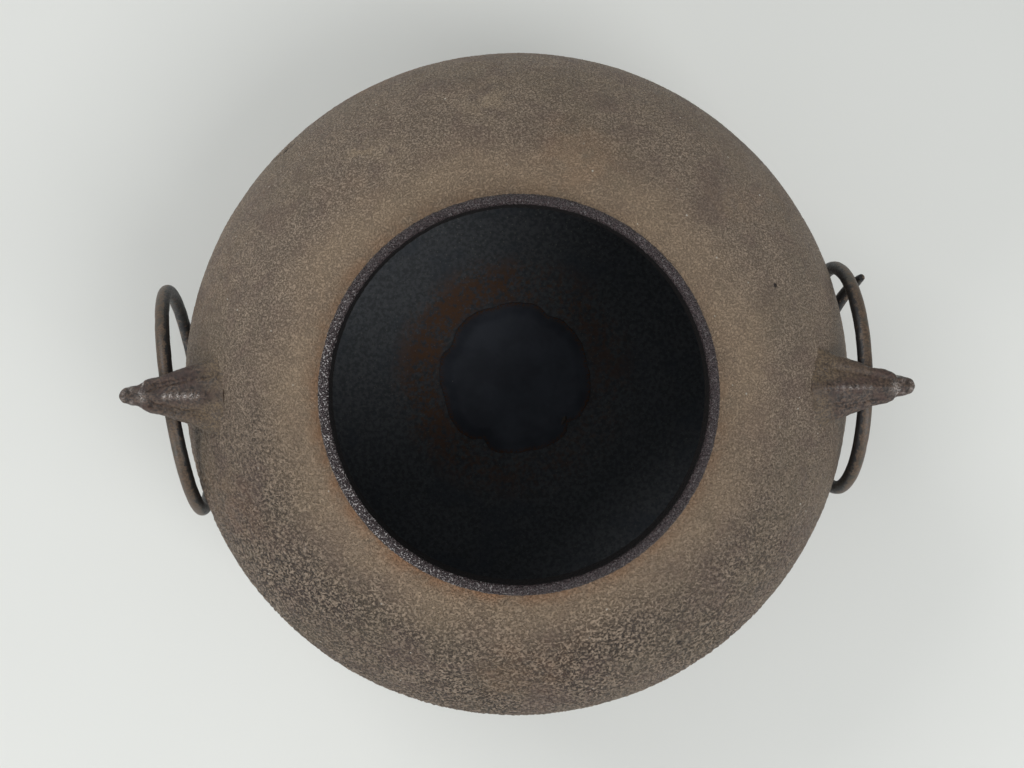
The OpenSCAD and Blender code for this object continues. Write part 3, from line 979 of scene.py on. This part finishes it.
def lug_marks(points, normals, ways):
    """What the lugs' material reads: painted highlights on the crests, dirt, and painted shade in the
    dimples.
    """
    x, y, z = points.T
    level = z - LUG_AXIS_Z
    # Painted highlights: along the keel's beads, on the hood's top where it faces up, and along the
    # hood's edge.
    beads = smooth(0.2, 0.8, 0.5 + 0.5 * np.cos((x - BEAD_MIDDLE) * 2 * math.pi / BEAD_PITCH))
    keel = np.exp(-((y / 0.95) ** 2)) * smooth(3.0, 6.0, level)
    keel = keel * smooth(101.5, 103.5, x) * smooth(116.0, 113.0, x)
    crest_highlight = keel * ways["shine"] * (0.25 + 0.75 * beads)
    hood_top = bump_at(points, (ways["hood_x"] - 0.8, 0, LUG_AXIS_Z + 5), (1.4, 1.6, 4))
    crest_highlight += smooth(0.1, 0.6, normals[:, 2]) * hood_top * 0.8
    edge = np.exp(-(((x - hood_line(y, ways)) / 0.42) ** 2)) * smooth(-1.0, 2.0, level)
    crest_highlight += 1.1 * edge * smooth(-0.3, 0.4, noise(points, 2.5, 121))
    dimple_shade = np.zeros(len(points))
    # Painted shade in the nostrils and small eyes, and painted highlights on the lip and knob beside
    # them.
    for hand in (-1, 1):
        dimple_shade += bump_at(points, NOSTRIL, (0.8, 0.7, 2.0), hand)
        dimple_shade += 0.7 * bump_at(points, SMALL_EYE, (1.2, 1.0, 1.8), hand)
        crest_highlight += 0.6 * bump_at(points, LIP_HIGHLIGHT, (0.7, 0.6, 2.0), hand)
        crest_highlight += 0.45 * bump_at(points, KNOB_HIGHLIGHT, (0.7, 0.7, 2.0), hand)
    ridge = np.exp(-((y / 3.2) ** 2)) * smooth(0.0, 4.0, level)
    dirt = smooth(5.0, 0.8, body_distance(points)) * (1 - 0.6 * ridge)
    dirt += 0.7 * smooth(120.0, 104.0, x) * smooth(1.0, 4.5, ways["dusty"] * y)
    return {"crest_highlight": np.clip(crest_highlight, 0, 1), "dirt": np.clip(dirt, 0, 1), "dimple_shade": np.clip(dimple_shade, 0, 1)}


def lug(name, node, mirrored, ways, material):
    """One lug, sculpted as the +X one and turned over for the other side."""
    low = np.array([94.0, -19.0, LUG_AXIS_Z - 21.0])
    high = np.array([LUG_TIP_X + 2.0, 19.0, LUG_AXIS_Z + 18.0])
    grid = [np.arange(a, b, LUG_STEP) for a, b in zip(low, high)]
    places = np.stack(np.meshgrid(*grid, indexing="ij"), axis=-1)
    field = lug_field(places.reshape(-1, 3), ways).reshape(places.shape[:3])
    for axis in range(3):
        field = field + FIELD_BLUR * (np.roll(field, 1, axis) + np.roll(field, -1, axis) - 2 * field)
    edge = np.ones_like(field, bool)
    edge[1:-1, 1:-1, 1:-1] = False
    field[edge] = np.maximum(field[edge], 0.1)
    points, faces = surface_of(field, low, LUG_STEP)
    points = relax(points, faces, 2)
    normals = normals_of(points, faces)
    points = points - normals * lug_skin(points, ways)[:, None]
    marks = lug_marks(points, normals, ways)
    if mirrored:
        points = points * np.array([-1, 1, 1])
        faces = faces[:, ::-1]
    piece = piece_from(name, points, faces.tolist(), "kettle", [node], [material])
    mark(piece, **marks)


# ---------------- rings


def turned(points, x=0.0, y=0.0, z=0.0):
    """Points turned about X, then Y, then Z, in degrees."""
    for angle, (a, b) in ((x, (1, 2)), (y, (2, 0)), (z, (0, 1))):
        c, s = math.cos(math.radians(angle)), math.sin(math.radians(angle))
        points = points.copy()
        from_a, from_b = points[:, a].copy(), points[:, b].copy()
        points[:, a], points[:, b] = c * from_a - s * from_b, s * from_a + c * from_b
    return points


def open_ring(start, seed, body_side):
    """The skin of an open ring's wire, as the CAD has it, in the XY plane: its points, a mark of soot
    and painted shade for each, and how many rows it has. body_side is the side of it that the body is
    on."""
    b = np.linspace(0, RING_SPAN, RING_STATIONS)
    ends = len(CAP_SHARES)
    steps = CAP_ARC * np.arange(ends) / ends
    b = np.concatenate([b[0] + steps, b[1:-1], b[-1] - steps[::-1]])
    cap = np.ones(len(b))
    cap[:ends], cap[-ends:] = CAP_SHARES, CAP_SHARES[::-1]

    way = np.radians(start - TAPER_ARC + b)
    tail = np.maximum(b - TAPER_ARC - RING_MAIN_ARC, 0)
    tilt = math.sin(math.radians(TAIL_TILT))
    side = RING_R * tilt * (1 - np.cos(np.radians(tail)))
    slope = tilt * np.sin(np.radians(tail))
    from_end = np.minimum(b, RING_SPAN - b) / TAPER_ARC
    size = WIRE_END_R + (WIRE_R - WIRE_END_R) * np.sin(np.radians(90 * np.minimum(1, from_end)))
    radial = np.stack([np.cos(way), np.sin(way), np.zeros(len(b))], axis=1)
    along = np.stack([-np.sin(way), np.cos(way), slope], axis=1)
    along /= np.linalg.norm(along, axis=1)[:, None]
    across = np.cross(radial, along)
    middle = RING_R * radial
    middle[:, 2] += side

    turn, round_wire = circle(RING_SIDES)
    cos_turn, sin_turn = round_wire.T[:, None, :, None]
    out = cos_turn * radial[:, None] + sin_turn * across[:, None]
    flat = (middle[:, None] + size[:, None, None] * out).reshape(-1, 3)
    hammered = 0.10 * (0.5 + 0.5 * noise(flat, 9.0, seed))
    hammered += 0.05 * (0.5 + 0.5 * noise(flat, 2.2, seed + 1))
    hammered += 0.07 * smooth(0.2, 0.6, noise(flat, 5.0, seed + 2))
    reach = size[:, None] * cap[:, None] - hammered.reshape(len(b), -1) * cap[:, None]
    points = (middle[:, None] + np.maximum(reach, 0.02)[:, :, None] * out).reshape(-1, 3)

    # Soot and painted shade: darkest on the side towards the body, then on the ring's inner side and
    # at the tips.
    to_body = smooth(0.0, 0.75, body_side * np.sin(turn))
    dark = np.maximum(to_body, 0.8 * smooth(-0.1, -0.8, np.cos(turn)))
    inward = dark[None, :] * np.ones((len(b), 1))
    near_tip = smooth(1.3, 0.6, from_end)[:, None]
    soot_and_shade = np.clip(np.maximum(inward, 0.55 * near_tip), 0, 1).ravel()
    return points, soot_and_shade, len(b)


def ring(name, node, body, start, seed, turns, hinge_x, material):
    """One ring, hung in its lug's eye. turns are how it hangs off true, in order."""
    points, soot_and_shade, rows = open_ring(start, seed, -math.copysign(1, hinge_x))
    points = turned(points, x=90, z=90) - np.array([0, 0, RING_R])
    for step in turns:
        points = turned(points, **step)
    points = points + np.array([hinge_x, 0, HINGE_Z])
    faces = closed_tube(rows, RING_SIDES, turned_over=True)
    piece = piece_from(name, points, faces, body, [node], [material])
    mark(piece, soot_and_shade=soot_and_shade)


# ---------------- lacquer and plates


def plate_centre(n):
    """Where the middle of a plate lies on the floor."""
    angle = 2 * math.pi * n / PLATE_COUNT
    return PLATE_RING_R * np.array([math.cos(angle), math.sin(angle)])


def lacquer():
    """Lacquer poured over the plates: a lobed pool, slightly mounded over each, thin at its edge."""
    turn, heading = circle(POOL_SIDES)
    edge = np.full(POOL_SIDES, PLATE_RING_R + LOBE_R - 0.9)
    for angle, depth, width in LACQUER_NOTCHES:
        away = (np.degrees(turn) - angle + 180) % 360 - 180
        edge -= depth * np.exp(-((away / width) ** 2))
    rim_line = np.concatenate([heading * 32, np.zeros((POOL_SIDES, 1))], axis=1)
    edge += 0.8 * noise(rim_line, 13.0, 201) + 0.35 * noise(rim_line, 4.0, 203)
    edge = np.minimum(edge, PLATE_RING_R + LOBE_R)
    share = np.linspace(0, 1, POOL_ROWS)[1:] ** 0.8
    flat = (share[:, None, None] * edge[None, :, None] * heading[None]).reshape(-1, 2)
    inset = (edge[None] * (1 - share[:, None])).ravel()
    places = np.concatenate([flat, np.zeros((len(flat), 1))], axis=1)
    height = LACQUER_T * smooth(-1.5, 7.0, inset) * 0.86
    mound = np.zeros(len(flat))
    for n in range(1, PLATE_COUNT + 1):
        away = np.linalg.norm(flat - plate_centre(n), axis=1)
        mound = np.maximum(mound, smooth(LOBE_R, 4.0, away))
    height = height + 0.28 * mound * smooth(1, 6, inset)
    height = height + 0.07 * noise(places, 5.0, 202) * smooth(0, 2, inset)
    height = np.where(inset < 0.01, -POOL_DIP, np.minimum(height, LACQUER_T))
    top = np.concatenate([flat, (WALL + height)[:, None]], axis=1)
    under = heading * (edge - 0.6)[:, None]
    under = np.concatenate([under, np.full((POOL_SIDES, 1), WALL - POOL_DIP)], axis=1)
    points = np.concatenate([top, under])
    faces = closed_tube(POOL_ROWS, POOL_SIDES, turned_over=True)
    shading = [lacquer_skin()]
    piece = piece_from("lacquer_pool", points, faces, "kettle", ["lacquer_bed"], shading)
    mark(piece, rust=np.concatenate([smooth(2.6, 0.4, inset), np.ones(POOL_SIDES)]))


def sounding_plate(n, material):
    """A flat scrap of cast iron, broken to an uneven outline with dulled edges."""
    heading = circle(PLATE_SIDES)[1]
    seeded = np.concatenate([heading * 4, np.full((PLATE_SIDES, 1), 17.0 * n)], axis=1)
    outline = PLATE_R - 0.75 + 0.7 * noise(seeded, 3.2, 301)
    rings = []
    for up, share in PLATE_LEVELS:
        level = np.full((PLATE_SIDES, 1), WALL + up)
        rings.append(np.concatenate([heading * (outline * share)[:, None], level], axis=1))
    points = np.concatenate(rings)
    points[:, :2] += plate_centre(n)
    faces = closed_tube(len(PLATE_LEVELS), PLATE_SIDES, turned_over=False)
    node = f"sounding_plate_{n}"
    piece_from(f"scrap_plate_{n}", points, faces, "kettle", [node], [material])


# ---------------- stage


def floor():
    """The floor that the kettle stands on."""
    rings = FLOOR_POINTS
    mesh = bpy.data.meshes.new("floor")
    steps = np.linspace(-FLOOR_HALF, FLOOR_HALF, rings)
    x, y = np.meshgrid(steps, steps, indexing="ij")
    points = np.stack([x.ravel(), y.ravel(), np.zeros(x.size)], axis=1)
    i, k = np.meshgrid(np.arange(rings - 1), np.arange(rings - 1), indexing="ij")
    first = (i * rings + k).ravel()
    faces = np.stack([first, first + rings, first + rings + 1, first + 1], axis=1)
    mesh.from_pydata(points.tolist(), [], faces.tolist())
    piece = bpy.data.objects.new("floor", mesh)
    bpy.context.scene.collection.objects.link(piece)
    mesh.materials.append(floor_paper())


def softbox(name, place, target, size, watts):
    """A square soft light."""
    lamp = bpy.data.lights.new(name, "AREA")
    lamp.shape = "RECTANGLE"
    lamp.size = lamp.size_y = size
    lamp.energy = watts
    holder = bpy.data.objects.new(name, lamp)
    bpy.context.scene.collection.objects.link(holder)
    holder.location = place
    direction = mathutils.Vector(target) - mathutils.Vector(place)
    holder.rotation_mode = "QUATERNION"
    holder.rotation_quaternion = direction.to_track_quat("-Z", "Y")


def lights():
    """The sky and the soft lights."""
    world = bpy.data.worlds.new("studio")
    world.use_nodes = True
    tree = world.node_tree
    background = tree.nodes["Background"]
    background.inputs["Color"].default_value = SKY_COLOUR
    place = tree.nodes.new("ShaderNodeTexCoord")
    split = tree.nodes.new("ShaderNodeSeparateXYZ")
    shade = tree.nodes.new("ShaderNodeMapRange")
    set_range(shade, OVERHEAD_FROM, OVERHEAD_FULL, SKY, SKY_OVERHEAD)
    tree.links.new(place.outputs["Generated"], split.inputs["Vector"])
    tree.links.new(split.outputs["Z"], shade.inputs["Value"])
    tree.links.new(shade.outputs["Result"], background.inputs["Strength"])
    bpy.context.scene.world = world
    for box in SOFTBOXES:
        softbox(*box)


def camera():
    """The camera where the photograph's was."""
    data = bpy.data.cameras.new("camera")
    data.sensor_width = CAMERA_SENSOR
    data.lens = CAMERA_LENS
    data.clip_start, data.clip_end = 0.01, 20.0
    data.dof.use_dof = False
    holder = bpy.data.objects.new("camera", data)
    bpy.context.scene.collection.objects.link(holder)
    holder.location = CAMERA_PLACE
    holder.rotation_euler = [math.radians(a) for a in CAMERA_TURN]
    bpy.context.scene.camera = holder


# ---------------- the whole


lug_material = lug_iron()
ring_material = ring_iron()

bpy.context.scene.view_settings.view_transform = "Standard"
camera()
lights()
floor()
kettle_body()
lug("left_lug_casting", "left_lug", mirrored=True, ways=LEFT_LUG, material=lug_material)
lug("right_lug_casting", "right_lug", mirrored=False, ways=RIGHT_LUG, material=lug_material)
ring(
    "left_ring_forging", "left_ring", "left_ring_body", start=-69.0, seed=401,
    turns=[{"x": -4.5}, {"y": 7.5}, {"z": 8.0}], hinge_x=-HINGE_X, material=ring_material,
)
ring(
    "right_ring_forging", "right_ring", "right_ring_body", start=-32.0, seed=411,
    turns=[{"x": 2.0}], hinge_x=HINGE_X, material=ring_material,
)
lacquer()
plate_material = plate_iron()
for number in range(1, PLATE_COUNT + 1):
    sounding_plate(number, plate_material)
